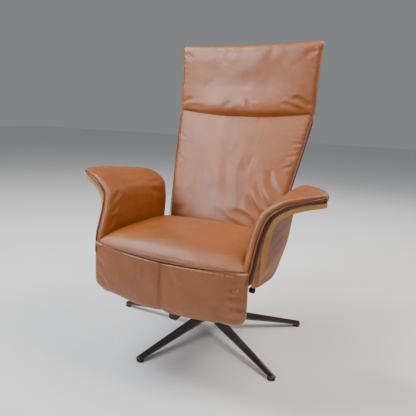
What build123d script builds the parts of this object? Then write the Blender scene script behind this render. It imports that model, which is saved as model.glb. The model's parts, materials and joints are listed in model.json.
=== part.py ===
from build123d import *
import os
from math import cos, hypot, pi, radians, sin, tan

os.makedirs("parts", exist_ok=True)

# Reclining armchair on a star base. The chair faces -Y, up is +Z, the floor is z = 0.
# "left" and "right" are the sitter's, so left is +X. All sizes are in millimetres.
SIDES = (("left", 1), ("right", -1))
GAP = 0.3                              # play between faces that move past each other

# Star base
SWIVEL_Y = 38                          # the swivel axis stands at x = 0, y = SWIVEL_Y
LEG_COUNT = 5
LEG_START_ANGLE = 253.3
FOOT_RADIUS = 366
LEG_OVERHANG = 10
HUB_APOTHEM = 34
HUB_BOTTOM, HUB_TOP = 46, 96
LEG_HUB_Z, LEG_FOOT_Z = 69, 14
LEG_HUB_SIZE, LEG_FOOT_SIZE = (38, 29), (22, 12)
GLIDE_R, GLIDE_HEIGHT = 13, 8
COLUMN_R, COLUMN_BORE_R, COLUMN_TOP = 25, 20, 250
COLUMN_FLOOR = 60
SPINDLE_R, SPINDLE_BOTTOM = 14, 108
BUSH_PLAY = 0.05
BEARING_R, BEARING_HEIGHT = 28, 6

# Seat frame
PLATE = 6
PLATE_Z = COLUMN_TOP + BEARING_HEIGHT + GAP
PLATE_HALF_WIDTH = 95
CARRIER_THICKNESS = 5
RAIL = 25
RAIL_Z = 345
RAIL_X = 200
RAIL_FRONT, RAIL_REAR = -335, 126
FRONT_BAR_Y, REAR_BAR_Y = -335, 60
WIRE_R = 1.6

# Seat cushion
SEAT_BOTTOM, SEAT_TOP = 384, 452
SEAT_FRONT, SEAT_ROLL_REAR, SEAT_ROLL_FRONT = -362, -378, -396.5
SEAT_HALF_FRONT, SEAT_HALF_REAR = 226, 205
SEAT_ROLL_HALF = 250

# Back, measured along its own front face: v up the face, n into the back
BACK_ANGLE = 22.4
BACK_FOOT = (39.5, 385)                # y, z of the point v = 0, n = 0
BACK_TOP_V = 515
BACK_SIDES = ((20, 210), (146, 224.6), (297, 242), (BACK_TOP_V, 266))
CUSHION_DEPTH = 53
COVER_FRONT, COVER_REAR, COVER_WALL = 54, 86, 7
FRAME_N, FRAME_TUBE = 68, 20
UPRIGHT_X = 175
UPRIGHT_BOTTOM, UPRIGHT_TOP = 60, 470

# Recline pivot and its gas spring
RECLINE = (113, 385)
SHAFT_R, RECLINE_TUBE_R = 6, 12
CRANK_LENGTH, CRANK_REST_ANGLE = 60, 15
GAS_X, GAS_R, GAS_ROD_R = 60, 11, 5
GAS_FRONT, GAS_REAR = -130, 72

# Headrest
HEADREST_AXIS = (272, 862)
HEADREST_ROLL_R, HEADREST_ROLL_PLAY = 38, 3
HEADREST_TOP, HEADREST_HALF = 1100, 270
HEADREST_FRONT, HEADREST_REAR = 234, 292
BAR_R = 5
STEM_X, STEM_POCKET = 126, 18

# Footrest, which hangs as the front panel when it is stowed
FOOTREST_AXIS = (-374.5, 400)
FOOTREST_PLAY = 1
FOOTREST_HALF, FOOTREST_BOTTOM = 254, 232
FOOTREST_CORNER_X = 220                # outside this the top makes room for the arms
FOOTREST_ROLL_R = 22
BOARD_THICKNESS = 12
BRACKET_X, POCKET_WIDTH = 120, 46

# Arms: the outside of the bent-wood shell as seen from the front, from its lower edge to its tip
SHELL_OUTLINE = ((262, 300), (272, 360), (283, 420), (286, 460), (290, 500), (300, 540),
                 (330, 565), (365, 578), (424, 590))
SHELL_THICKNESS = 14
PAD_DEPTHS = (43, 45, 48, 50, 51, 48, 42, 37, 32)
PAD_BOTTOM = 374
ARM_LENGTH, ARM_TOE_IN = 520, 18
ARM_FRONT = -372
SHELL_SETBACK = 10
ARM_BRACKET_Y = (-130, -20)

# Release lever under the left arm
LEVER_PIVOT = (-208, 356)
LEVER_X = 238
KNOB_CENTRE, KNOB_R = (-262, 322), 9.5
CABLE_R = 2.2


def save(piece, name):
    """Label a finished piece and write its file."""
    piece.part.label = name
    export_step(piece.part, f"parts/{name}.step")


def across(x, y=0.0, z=0.0):
    """A plane square to X at the given x, with its local axes along Y and Z."""
    return Plane(origin=(x, y, z), x_dir=(0, 1, 0), z_dir=(1, 0, 0))


def back_point(v, n):
    """World y and z of a point of the back, v up its front face and n behind it."""
    angle = radians(BACK_ANGLE)
    return (BACK_FOOT[0] + v * sin(angle) + n * cos(angle),
            BACK_FOOT[1] + v * cos(angle) - n * sin(angle))


def back_plane(n):
    """A plane parallel to the back's front face, n behind it: local y runs up the back."""
    angle = radians(BACK_ANGLE)
    return Plane(origin=(0, *back_point(0, n)), x_dir=(1, 0, 0), z_dir=(0, -cos(angle), sin(angle)))


def offset_outline(points, distances):
    """An outline moved towards the sitter, each point by its own distance."""
    moved = []
    for i, (x, z) in enumerate(points):
        ax, az = points[max(i - 1, 0)]
        bx, bz = points[min(i + 1, len(points) - 1)]
        length = hypot(bx - ax, bz - az)
        moved.append((x - (bz - az) / length * distances[i], z + (bx - ax) / length * distances[i]))
    return moved


def plate_link(name, spans, points, eyes):
    """Flat link plates at the given spans of x: an outline in (y, z) with eyes (y, z, R, hole r)."""
    with BuildPart() as link:
        for low, high in spans:
            with BuildSketch(across(low)):
                with BuildLine():
                    Polyline(*points, close=True)
                make_face()
                for y, z, outer, _ in eyes:
                    with Locations((y, z)):
                        Circle(outer)
                for y, z, _, hole in eyes:
                    with Locations((y, z)):
                        Circle(hole, mode=Mode.SUBTRACT)
            extrude(amount=high - low)
    save(link, name)


def wave_springs(name, plane_at, rows, length, pitch, swing):
    """Sinuous wire springs: one zigzag with round bends in each row."""
    with BuildPart() as springs:
        for row in rows:
            turns = int(length / pitch)
            points = [(-length / 2, 0)]
            for i in range(turns):
                points.append((-length / 2 + (i + 0.5) * pitch, swing if i % 2 else -swing))
            points.append((length / 2, 0))
            place = plane_at(row)
            with BuildLine(place) as wire:
                FilletPolyline(*points, radius=pitch * 0.3)
            start = wire.edges().sort_by_distance(place.from_local_coords((-length / 2, 0, 0)))[0]
            with BuildSketch(Plane(origin=start @ 0, z_dir=start % 0)):
                Circle(WIRE_R)
            sweep(path=wire.line)
    save(springs, name)


# ---------------------------------------------------------------- star base
with BuildPart() as base_hub:
    with BuildSketch(Plane((0, SWIVEL_Y, HUB_BOTTOM))):
        RegularPolygon(HUB_APOTHEM, LEG_COUNT, major_radius=False,
                       rotation=LEG_START_ANGLE - 180 / LEG_COUNT)
    extrude(amount=HUB_TOP - HUB_BOTTOM)
    chamfer(base_hub.faces().sort_by(Axis.Z)[-1].edges(), 4)
    with BuildSketch(Plane((0, SWIVEL_Y, COLUMN_FLOOR))):
        Circle(COLUMN_R)
    extrude(amount=HUB_TOP - COLUMN_FLOOR, mode=Mode.SUBTRACT)
save(base_hub, "base_hub")

for number in range(LEG_COUNT):
    angle = radians(LEG_START_ANGLE + number * 360 / LEG_COUNT)
    outward = Vector(cos(angle), sin(angle), 0)
    with BuildPart() as base_leg:
        ends = ((HUB_APOTHEM, LEG_HUB_Z, LEG_HUB_SIZE), (FOOT_RADIUS + LEG_OVERHANG, LEG_FOOT_Z, LEG_FOOT_SIZE))
        for distance, height, (wide, tall) in ends:
            centre = Vector(0, SWIVEL_Y, height) + outward * distance
            with BuildSketch(Plane(origin=centre, x_dir=(-sin(angle), cos(angle), 0), z_dir=outward)):
                with BuildLine():
                    Polyline((-wide / 2, -tall / 2), (wide / 2, -tall / 2), (wide / 2, -tall / 5),
                             (wide / 6, tall / 2), (-wide / 6, tall / 2), (-wide / 2, -tall / 5),
                             close=True)
                make_face()
        loft()
    save(base_leg, f"base_leg_{number + 1}")

with BuildPart() as foot_glides:
    with BuildSketch(Plane((0, SWIVEL_Y, 0))):
        with PolarLocations(FOOT_RADIUS, LEG_COUNT, start_angle=LEG_START_ANGLE):
            Circle(GLIDE_R)
    extrude(amount=GLIDE_HEIGHT)
    chamfer(foot_glides.edges().filter_by(GeomType.CIRCLE).group_by(Axis.Z)[0], 1.5)
save(foot_glides, "foot_glides")

with BuildPart() as column_tube:
    with BuildSketch(Plane((0, SWIVEL_Y, COLUMN_FLOOR))):
        Circle(COLUMN_R)
        Circle(COLUMN_BORE_R, mode=Mode.SUBTRACT)
    extrude(amount=COLUMN_TOP - COLUMN_FLOOR)
save(column_tube, "column_tube")

with BuildPart() as column_bushes:
    for bottom, top in ((112, 142), (COLUMN_TOP - 35, COLUMN_TOP)):
        with BuildSketch(Plane((0, SWIVEL_Y, bottom))):
            Circle(COLUMN_BORE_R)
            Circle(SPINDLE_R + BUSH_PLAY, mode=Mode.SUBTRACT)
        extrude(amount=top - bottom)
save(column_bushes, "column_bushes")

with BuildPart() as thrust_bearing:
    with BuildSketch(Plane((0, SWIVEL_Y, COLUMN_TOP))):
        Circle(BEARING_R)
        Circle(SPINDLE_R + 1, mode=Mode.SUBTRACT)
    extrude(amount=BEARING_HEIGHT)
    chamfer(thrust_bearing.faces().sort_by(Axis.Z)[-1].edges().sort_by(SortBy.LENGTH)[-1:], 1)
save(thrust_bearing, "thrust_bearing")

# ---------------------------------------------------------------- seat frame
with BuildPart() as swivel_spindle:
    with BuildSketch(Plane((0, SWIVEL_Y, SPINDLE_BOTTOM))):
        Circle(SPINDLE_R)
    extrude(amount=PLATE_Z + PLATE - SPINDLE_BOTTOM)
    chamfer(swivel_spindle.faces().sort_by(Axis.Z)[0].edges(), 2)
save(swivel_spindle, "swivel_spindle")

with BuildPart() as mechanism_plate:
    with BuildSketch(Plane((0, SWIVEL_Y, PLATE_Z))):
        RectangleRounded(2 * PLATE_HALF_WIDTH, 196, 12)
        Circle(SPINDLE_R, mode=Mode.SUBTRACT)
    extrude(amount=PLATE)
save(mechanism_plate, "mechanism_plate")

CARRIER_OUTLINE = ((-325, RAIL_Z), (-325, RAIL_Z - 15), (-160, RAIL_Z - 15), (-60, PLATE_Z + PLATE),
                   (85, PLATE_Z + PLATE), (85, RAIL_Z))
for side, sign in SIDES:
    inner = sign * (PLATE_HALF_WIDTH - CARRIER_THICKNESS)
    outer = sign * PLATE_HALF_WIDTH
    plate_link(f"carrier_plate_{side}", ((min(inner, outer), max(inner, outer)),), CARRIER_OUTLINE, ())

for side, sign in SIDES:
    with BuildPart() as seat_rail:
        with BuildSketch(Plane.XZ.offset(-RAIL_FRONT)):
            with Locations((sign * (RAIL_X + RAIL / 2), RAIL_Z + RAIL / 2)):
                RectangleRounded(RAIL, RAIL, 3)
                Rectangle(RAIL - 4, RAIL - 4, mode=Mode.SUBTRACT)
        extrude(amount=RAIL_FRONT - RAIL_REAR)
    save(seat_rail, f"seat_rail_{side}")

for name, bar_y in (("front_crossbar", FRONT_BAR_Y), ("rear_crossbar", REAR_BAR_Y)):
    with BuildPart() as crossbar:
        with BuildSketch(across(-RAIL_X)):
            with Locations((bar_y + RAIL / 2, RAIL_Z + RAIL / 2)):
                RectangleRounded(RAIL, RAIL, 3)
                Rectangle(RAIL - 4, RAIL - 4, mode=Mode.SUBTRACT)
        extrude(amount=2 * RAIL_X)
    save(crossbar, name)

seat_spring_length = REAR_BAR_Y - FRONT_BAR_Y + RAIL - 16
seat_spring_middle = (REAR_BAR_Y + FRONT_BAR_Y + RAIL) / 2
wave_springs("seat_springs",
             lambda x: Plane(origin=(x, seat_spring_middle, RAIL_Z + RAIL + WIRE_R + 0.1),
                             x_dir=(0, 1, 0), z_dir=(0, 0, 1)),
             (-132, -44, 44, 132), seat_spring_length, 26, 26)

# ---------------------------------------------------------------- seat cushion
with BuildPart() as seat_cushion:
    seat_rear_low = back_point(0, 0)[0] - 4
    slope = tan(radians(BACK_ANGLE))
    with BuildSketch(Plane.XY.offset(SEAT_BOTTOM)):
        with BuildLine():
            Polyline((-SEAT_HALF_FRONT, SEAT_FRONT), (SEAT_HALF_FRONT, SEAT_FRONT),
                     (SEAT_HALF_REAR, 90), (-SEAT_HALF_REAR, 90), close=True)
        make_face()
    extrude(amount=SEAT_TOP - SEAT_BOTTOM)
    with BuildSketch(Plane.XY.offset(SEAT_BOTTOM)):
        with Locations((0, (SEAT_ROLL_FRONT + SEAT_ROLL_REAR) / 2)):
            Rectangle(2 * SEAT_ROLL_HALF, SEAT_ROLL_REAR - SEAT_ROLL_FRONT)
        with Locations((0, (SEAT_FRONT + SEAT_ROLL_REAR) / 2)):
            Rectangle(2 * SEAT_HALF_FRONT, SEAT_FRONT - SEAT_ROLL_REAR)
    extrude(amount=SEAT_TOP - 8 - SEAT_BOTTOM)
    fillet(seat_cushion.edges().filter_by(Axis.X).group_by(Axis.Y)[0].sort_by(Axis.Z)[-1:], 18)
    # the rear face leans with the back
    with BuildSketch(across(-300)):
        with BuildLine():
            Polyline((seat_rear_low, SEAT_BOTTOM - 1),
                     (seat_rear_low + (SEAT_TOP + 1 - SEAT_BOTTOM) * slope, SEAT_TOP + 1),
                     (200, SEAT_TOP + 1), (200, SEAT_BOTTOM - 1), close=True)
        make_face()
    extrude(amount=600, mode=Mode.SUBTRACT)
    # room for the rounded top of the footrest, hanging and swung out
    groove = FOOTREST_ROLL_R + FOOTREST_PLAY
    with BuildSketch(across(-300)):
        with Locations(FOOTREST_AXIS):
            Circle(groove)
        with Locations((FOOTREST_AXIS[0] - 30, FOOTREST_AXIS[1])):
            Rectangle(60, 2 * groove)
        with Locations((FOOTREST_AXIS[0], FOOTREST_AXIS[1] - groove)):
            Rectangle(2 * groove, 2 * groove)
    extrude(amount=600, mode=Mode.SUBTRACT)
    # slots for the footrest's hinge brackets
    for sign in (-1, 1):
        with BuildSketch(across(sign * BRACKET_X - 6)):
            with Locations((FOOTREST_AXIS[0] + 20, SEAT_BOTTOM)):
                Rectangle(50, 20)
        extrude(amount=12, mode=Mode.SUBTRACT)
save(seat_cushion, "seat_cushion")

# ---------------------------------------------------------------- arms
FLARE_PLAN = ((414, -225), (399, -152), (372, -67), (337, -5), (305, 38), (284, 62), (276, 82))


def arm_solid(sign, near, far, setback, bottom, tip_inset):
    """One arm layer: its front profile drawn out backwards, trimmed in side view and in plan."""
    toe = Vector(-sign * ARM_TOE_IN, ARM_LENGTH - 80, 0)
    with BuildPart() as arm:
        with BuildSketch(Plane(origin=(0, ARM_FRONT - 10, 0), x_dir=(1, 0, 0), z_dir=(0, -1, 0))):
            with BuildLine():
                low = Spline(*[(sign * x, z) for x, z in far])
                high = Spline(*[(sign * x, z) for x, z in near])
                Line(low @ 0, high @ 0)
                Line(low @ 1, high @ 1)
            make_face()
        extrude(amount=ARM_LENGTH, dir=toe.normalized())
        with BuildSketch(across(0)):
            with BuildLine():
                y0 = ARM_FRONT + setback
                front = Spline((y0 + 4, bottom(y0)), (y0 + 5, 400), (y0 + 26, 460), (y0 + 68, 540),
                               (y0 + 90, 600), (y0 + 96, 650))
                rear = Polyline(front @ 1, (75, 650), (72, 600), (46, 390))
                corner = ThreePointArc(rear @ 1, (22, bottom(-30) + 22), (-30, bottom(-30)))
                lower = Spline(corner @ 1, (-72, bottom(-72)), (-150, bottom(-150)),
                               (-271, bottom(-271)), front @ 0)
            make_face()
        extrude(amount=sign * 500, mode=Mode.INTERSECT)
        with BuildSketch(Plane.XY):
            with BuildLine():
                x0 = tip_inset
                outer = Spline(*[(sign * (x - x0), y) for x, y in FLARE_PLAN])
                edge = Spline(outer @ 0, (sign * (364 - x0), -268 + setback),
                              (sign * (307 - x0), -297 + setback),
                              (sign * (276 - x0), -322 + setback),
                              (sign * 268, -345 + setback), (sign * 266, y0 - 1))
                Polyline(edge @ 1, (sign * 150, y0 - 1), (sign * 150, 100),
                         (sign * (276 - x0), 100), outer @ 1)
            make_face()
        extrude(amount=700, mode=Mode.INTERSECT)
    return arm


def shell_bottom(y):
    """Height of the wooden shell's lower edge: it rises towards the front."""
    rise = max(0.0, min(1.0, (-72 - y) / 295))
    return 303 + 66 * rise ** 1.15


def pad_bottom(y):
    """The pad ends level, below the seat cushion's top."""
    return PAD_BOTTOM


shell_inner = offset_outline(SHELL_OUTLINE, [SHELL_THICKNESS] * len(SHELL_OUTLINE))
pad_outer = offset_outline(SHELL_OUTLINE, [SHELL_THICKNESS + 0.4] * len(SHELL_OUTLINE))
pad_inner = offset_outline(SHELL_OUTLINE, PAD_DEPTHS)
shells = {}
for side, sign in SIDES:
    shells[side] = arm_solid(sign, shell_inner, SHELL_OUTLINE, SHELL_SETBACK, shell_bottom, 4)
    save(shells[side], f"arm_shell_{side}")
    save(arm_solid(sign, pad_inner, pad_outer, 0, pad_bottom, 0), f"arm_pad_{side}")

for side, sign in SIDES:
    with BuildPart() as arm_bracket:
        with BuildSketch(across(sign * (RAIL_X + RAIL))):
            for y in ARM_BRACKET_Y:
                with Locations((y, 357)):
                    Rectangle(50, 22)
        extrude(amount=sign * 24)
        add(shells[side].part, mode=Mode.SUBTRACT)
        with BuildSketch(across(sign * (RAIL_X + RAIL))):
            for y in ARM_BRACKET_Y:
                with Locations((y, 357)):
                    Rectangle(44, 14)
        extrude(amount=sign * 12, mode=Mode.SUBTRACT)
    save(arm_bracket, f"arm_bracket_{side}")

# ---------------------------------------------------------------- recline pivot
with BuildPart() as recline_shaft:
    with BuildSketch(across(-RAIL_X, *RECLINE)):
        Circle(SHAFT_R)
    extrude(amount=2 * RAIL_X)
    chamfer(recline_shaft.edges().filter_by(GeomType.CIRCLE), 1)
save(recline_shaft, "recline_shaft")

BRACKET_EYE = 11
for side, sign in SIDES:
    span = sorted((sign * (RAIL_X - PLATE), sign * RAIL_X))
    plate_link(f"recline_bracket_{side}", (span,),
               ((RECLINE[0] - BRACKET_EYE, RECLINE[1]), (RECLINE[0] - BRACKET_EYE, RAIL_Z + 2),
                (RECLINE[0] + BRACKET_EYE, RAIL_Z + 2), (RECLINE[0] + BRACKET_EYE, RECLINE[1])),
               ((*RECLINE, BRACKET_EYE, SHAFT_R),))

with BuildPart() as recline_tube:
    with BuildSketch(across(-RAIL_X + PLATE + 4, *RECLINE)):
        Circle(RECLINE_TUBE_R)
        Circle(SHAFT_R + BUSH_PLAY, mode=Mode.SUBTRACT)
    extrude(amount=2 * (RAIL_X - PLATE - 4))
save(recline_tube, "recline_tube")

crank_angle = radians(CRANK_REST_ANGLE)
CRANK_PIN = (RECLINE[0] + CRANK_LENGTH * sin(crank_angle), RECLINE[1] - CRANK_LENGTH * cos(crank_angle))
CRANK_PIN_R, CRANK_EYE = 4, 9
side_y, side_z = 8 * cos(crank_angle), 8 * sin(crank_angle)
with BuildPart() as recline_crank:
    for low in (GAS_X - 12, GAS_X + 7):
        with BuildSketch(across(low)):
            with BuildLine():
                Polyline((RECLINE[0] - side_y, RECLINE[1] - side_z),
                         (CRANK_PIN[0] - side_y, CRANK_PIN[1] - side_z),
                         (CRANK_PIN[0] + side_y, CRANK_PIN[1] + side_z),
                         (RECLINE[0] + side_y, RECLINE[1] + side_z), close=True)
            make_face()
            with Locations(RECLINE):
                Circle(RECLINE_TUBE_R + 2.5)
            with Locations(CRANK_PIN):
                Circle(CRANK_EYE)
            with Locations(RECLINE):
                Circle(RECLINE_TUBE_R, mode=Mode.SUBTRACT)
        extrude(amount=5)
    with BuildSketch(across(GAS_X - 12, *CRANK_PIN)):
        Circle(CRANK_PIN_R)
    extrude(amount=24)
save(recline_crank, "recline_crank")

with BuildPart() as gas_spring_cylinder:
    with BuildSketch(Plane(origin=(GAS_X, GAS_FRONT, CRANK_PIN[1]), x_dir=(1, 0, 0), z_dir=(0, 1, 0))):
        Circle(GAS_R)
    extrude(amount=GAS_REAR - GAS_FRONT)
    fillet(gas_spring_cylinder.edges().filter_by(GeomType.CIRCLE), 2)
    with BuildSketch(Plane(origin=(GAS_X, GAS_REAR - 60, CRANK_PIN[1]), x_dir=(1, 0, 0), z_dir=(0, 1, 0))):
        Circle(GAS_ROD_R + BUSH_PLAY)
    extrude(amount=60, mode=Mode.SUBTRACT)
save(gas_spring_cylinder, "gas_spring_cylinder")

EYE_LENGTH = 11
with BuildPart() as gas_spring_rod:
    with BuildSketch(Plane(origin=(GAS_X, GAS_REAR - 20, CRANK_PIN[1]), x_dir=(1, 0, 0), z_dir=(0, 1, 0))):
        Circle(GAS_ROD_R)
    extrude(amount=CRANK_PIN[0] - GAS_REAR + 20 - EYE_LENGTH + 1)
    with BuildSketch(across(GAS_X - 5, *CRANK_PIN)):
        Circle(EYE_LENGTH)
    extrude(amount=10)
    with BuildSketch(across(GAS_X - 5, *CRANK_PIN)):
        Circle(CRANK_PIN_R + 3)
    extrude(amount=10, mode=Mode.SUBTRACT)
save(gas_spring_rod, "gas_spring_rod")

with BuildPart() as gas_spring_anchor:
    with BuildSketch(Plane(origin=(0, GAS_FRONT - PLATE, 0), x_dir=(-1, 0, 0), z_dir=(0, 1, 0))):
        with Locations((-(PLATE_HALF_WIDTH - CARRIER_THICKNESS + 30) / 2, CRANK_PIN[1] - 3)):
            Rectangle(PLATE_HALF_WIDTH - CARRIER_THICKNESS - 30, 40)
    extrude(amount=PLATE)
save(gas_spring_anchor, "gas_spring_anchor")

# ---------------------------------------------------------------- back
HINGE_PLATE = (UPRIGHT_X - 3, UPRIGHT_X + 3)
HINGE_EYE = 14.5
for side, sign in SIDES:
    span = sorted((sign * HINGE_PLATE[0], sign * HINGE_PLATE[1]))
    plate_link(f"back_hinge_plate_{side}", (span,),
               (back_point(28, FRAME_N - 9), back_point(UPRIGHT_BOTTOM, FRAME_N - 9),
                back_point(UPRIGHT_BOTTOM, FRAME_N + 9), back_point(28, FRAME_N + 9)),
               ((*RECLINE, HINGE_EYE, RECLINE_TUBE_R),))

for side, sign in SIDES:
    with BuildPart() as back_upright:
        with BuildSketch(back_plane(FRAME_N - FRAME_TUBE / 2)):
            with Locations((sign * UPRIGHT_X, (UPRIGHT_BOTTOM + UPRIGHT_TOP) / 2)):
                Rectangle(FRAME_TUBE, UPRIGHT_TOP - UPRIGHT_BOTTOM)
        extrude(amount=-FRAME_TUBE)
    save(back_upright, f"back_upright_{side}")

CROSSBAR_LOW_V, CROSSBAR_HIGH_V = 110, 456
for name, level in (("back_crossbar_low", CROSSBAR_LOW_V), ("back_crossbar_high", CROSSBAR_HIGH_V)):
    with BuildPart() as back_crossbar:
        with BuildSketch(back_plane(FRAME_N - FRAME_TUBE / 2)):
            with Locations((0, level)):
                Rectangle(2 * UPRIGHT_X - FRAME_TUBE, FRAME_TUBE)
        extrude(amount=-FRAME_TUBE)
    save(back_crossbar, name)


def back_spring_plane(level):
    """The plane of one row of back springs, which lie on the front of the uprights."""
    return Plane(origin=(0, *back_point(level, FRAME_N - FRAME_TUBE / 2 - WIRE_R - 0.1)),
                 x_dir=(1, 0, 0), z_dir=back_plane(0).z_dir)


wave_springs("back_springs", back_spring_plane, (170, 240, 310, 380), 2 * UPRIGHT_X, 25, 18)


def back_outline(inset):
    """Half-widths of the back at each height, drawn in as much as asked."""
    right = [(half - inset, v) for v, half in BACK_SIDES]
    left = [(-x, v) for x, v in right]
    return right, left


with BuildPart() as back_cushion:
    with BuildSketch(back_plane(0)):
        right, left = back_outline(0)
        with BuildLine():
            Spline(*right)
            Line(right[-1], left[-1])
            Spline(*left)
            Line(right[0], left[0])
        make_face()
    extrude(amount=-CUSHION_DEPTH)
    front_edges = back_cushion.faces().sort_by(Axis((0, 0, 0), back_plane(0).z_dir))[-1].edges()
    fillet(front_edges, 12)
    with BuildSketch(across(-300, *HEADREST_AXIS)):
        Circle(HEADREST_ROLL_R + HEADREST_ROLL_PLAY)
    extrude(amount=600, mode=Mode.SUBTRACT)
    with BuildSketch(back_plane(36)):
        for sign in (-1, 1):
            with Locations((sign * STEM_X, 500)):
                Rectangle(STEM_POCKET, 60)
    extrude(amount=-(CUSHION_DEPTH - 36), mode=Mode.SUBTRACT)
save(back_cushion, "back_cushion")

with BuildPart() as back_rear_cover:
    with BuildSketch(back_plane(COVER_FRONT)):
        right, left = back_outline(3)
        right[0], left[0] = (right[0][0] + 3.5, 50), (left[0][0] - 3.5, 50)
        with BuildLine():
            Spline(*right)
            Line(right[-1], left[-1])
            Spline(*left)
            Line(right[0], left[0])
        make_face()
    extrude(amount=-(COVER_REAR - COVER_FRONT))
    rear_edges = back_rear_cover.faces().sort_by(Axis((0, 0, 0), back_plane(0).z_dir))[0].edges()
    fillet(rear_edges, 7)
    with BuildSketch(back_plane(COVER_FRONT)):
        right, left = back_outline(3 + COVER_WALL)
        right[0], left[0] = (right[0][0] + 2.3, 40), (left[0][0] - 2.3, 40)
        right[-1] = (right[-1][0], BACK_TOP_V - COVER_WALL)
        left[-1] = (left[-1][0], BACK_TOP_V - COVER_WALL)
        with BuildLine():
            Spline(*right)
            Line(right[-1], left[-1])
            Spline(*left)
            Line(right[0], left[0])
        make_face()
    extrude(amount=-(COVER_REAR - COVER_FRONT - COVER_WALL), mode=Mode.SUBTRACT)
    with BuildSketch(across(-300, *HEADREST_AXIS)):
        Circle(HEADREST_ROLL_R + HEADREST_ROLL_PLAY)
    extrude(amount=600, mode=Mode.SUBTRACT)
save(back_rear_cover, "back_rear_cover")

# ---------------------------------------------------------------- headrest
STEM_EYE = 10
for side, sign in SIDES:
    span = sorted((sign * (STEM_X - 3), sign * (STEM_X + 3)))
    plate_link(f"headrest_stem_{side}", (span,),
               (back_point(CROSSBAR_HIGH_V + FRAME_TUBE / 2, FRAME_N - 8),
                (HEADREST_AXIS[0] - STEM_EYE + 1, HEADREST_AXIS[1]),
                (HEADREST_AXIS[0] + STEM_EYE - 1, HEADREST_AXIS[1]),
                back_point(CROSSBAR_HIGH_V + FRAME_TUBE / 2, FRAME_N + 9)),
               ((*HEADREST_AXIS, STEM_EYE, BAR_R + BUSH_PLAY),))

PLATE_TOP = 1040
with BuildPart() as headrest_cushion:
    with BuildSketch(across(-HEADREST_HALF)):
        with Locations(((HEADREST_FRONT + HEADREST_REAR) / 2, (HEADREST_AXIS[1] + HEADREST_TOP) / 2)):
            Rectangle(HEADREST_REAR - HEADREST_FRONT, HEADREST_TOP - HEADREST_AXIS[1])
        with Locations(HEADREST_AXIS):
            Circle(HEADREST_ROLL_R)
    extrude(amount=2 * HEADREST_HALF)
    fillet(headrest_cushion.edges().filter_by(Axis.X).group_by(Axis.Z)[-1], 22)
    for sign in (-1, 1):
        with BuildSketch(across(sign * STEM_X - STEM_POCKET / 2)):
            with Locations((HEADREST_AXIS[0], HEADREST_AXIS[1] - 18)):
                Rectangle(56, 60)
        extrude(amount=STEM_POCKET, mode=Mode.SUBTRACT)
    with BuildSketch(across(-HEADREST_HALF + 20, *HEADREST_AXIS)):
        Circle(BAR_R)
    extrude(amount=2 * HEADREST_HALF - 40, mode=Mode.SUBTRACT)
    with BuildSketch(Plane.XZ.offset(-HEADREST_AXIS[0] - 1.5)):
        with Locations((0, (HEADREST_AXIS[1] + PLATE_TOP) / 2)):
            Rectangle(200, PLATE_TOP - HEADREST_AXIS[1])
    extrude(amount=3, mode=Mode.SUBTRACT)
save(headrest_cushion, "headrest_cushion")

with BuildPart() as headrest_bar:
    with BuildSketch(across(-HEADREST_HALF + 20, *HEADREST_AXIS)):
        Circle(BAR_R)
    extrude(amount=2 * HEADREST_HALF - 40)
save(headrest_bar, "headrest_bar")

with BuildPart() as headrest_plate:
    with BuildSketch(Plane.XZ.offset(-HEADREST_AXIS[0] - 1.5)):
        with Locations((0, (HEADREST_AXIS[1] + PLATE_TOP) / 2)):
            Rectangle(200, PLATE_TOP - HEADREST_AXIS[1])
    extrude(amount=3)
    add(headrest_bar.part, mode=Mode.SUBTRACT)
save(headrest_plate, "headrest_plate")

# ---------------------------------------------------------------- footrest
axis_y, axis_z = FOOTREST_AXIS
ROD_HALF = FOOTREST_CORNER_X - 8
with BuildPart() as footrest_cushion:
    with BuildSketch(across(-FOOTREST_HALF)):
        with Locations(FOOTREST_AXIS):
            Circle(FOOTREST_ROLL_R)
        with Locations((axis_y, (axis_z + FOOTREST_BOTTOM) / 2)):
            Rectangle(2 * FOOTREST_ROLL_R, axis_z - FOOTREST_BOTTOM)
    extrude(amount=2 * FOOTREST_HALF)
    fillet(footrest_cushion.edges().filter_by(Axis.Y).group_by(Axis.Z)[0], 40)
    for sign in (-1, 1):
        with BuildSketch(across(sign * BRACKET_X - POCKET_WIDTH / 2)):
            with Locations((axis_y + 10, axis_z - 36)):
                Rectangle(38, 118)
        extrude(amount=POCKET_WIDTH, mode=Mode.SUBTRACT)
        # the top corners clear the fronts of the arms, hanging and swung out
        with BuildSketch(across(sign * FOOTREST_CORNER_X)):
            with Locations((axis_y, axis_z + 30)):
                Rectangle(60, 60)
            with Locations((axis_y - 3 + 30, axis_z - 20)):
                Rectangle(60, 60)
        extrude(amount=sign * 60, mode=Mode.SUBTRACT)
    with BuildSketch(across(-ROD_HALF, *FOOTREST_AXIS)):
        Circle(BAR_R)
    extrude(amount=2 * ROD_HALF, mode=Mode.SUBTRACT)
save(footrest_cushion, "footrest_cushion")

BOARD_FRONT = axis_y + FOOTREST_ROLL_R
BOARD_TOP = axis_z - 52
with BuildPart() as footrest_board:
    with BuildSketch(Plane.XZ.offset(-BOARD_FRONT)):
        with Locations((0, (BOARD_TOP + FOOTREST_BOTTOM + 6) / 2)):
            RectangleRounded(2 * FOOTREST_HALF - 12, BOARD_TOP - FOOTREST_BOTTOM - 6, 30)
    extrude(amount=-BOARD_THICKNESS)
save(footrest_board, "footrest_board")

with BuildPart() as footrest_hinge_rod:
    with BuildSketch(across(-ROD_HALF, *FOOTREST_AXIS)):
        Circle(BAR_R)
    extrude(amount=2 * ROD_HALF)
save(footrest_hinge_rod, "footrest_hinge_rod")

lug_spans = [sorted((sign * near, sign * (near + 5))) for sign in (-1, 1) for near in (100, 135)]
plate_link("footrest_lugs", lug_spans,
           ((axis_y - 6, axis_z), (axis_y + 8, axis_z - 92), (BOARD_FRONT, axis_z - 92),
            (BOARD_FRONT, axis_z - 30), (axis_y + 7, axis_z + 4)),
           ((axis_y, axis_z, 8, BAR_R),))

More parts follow.
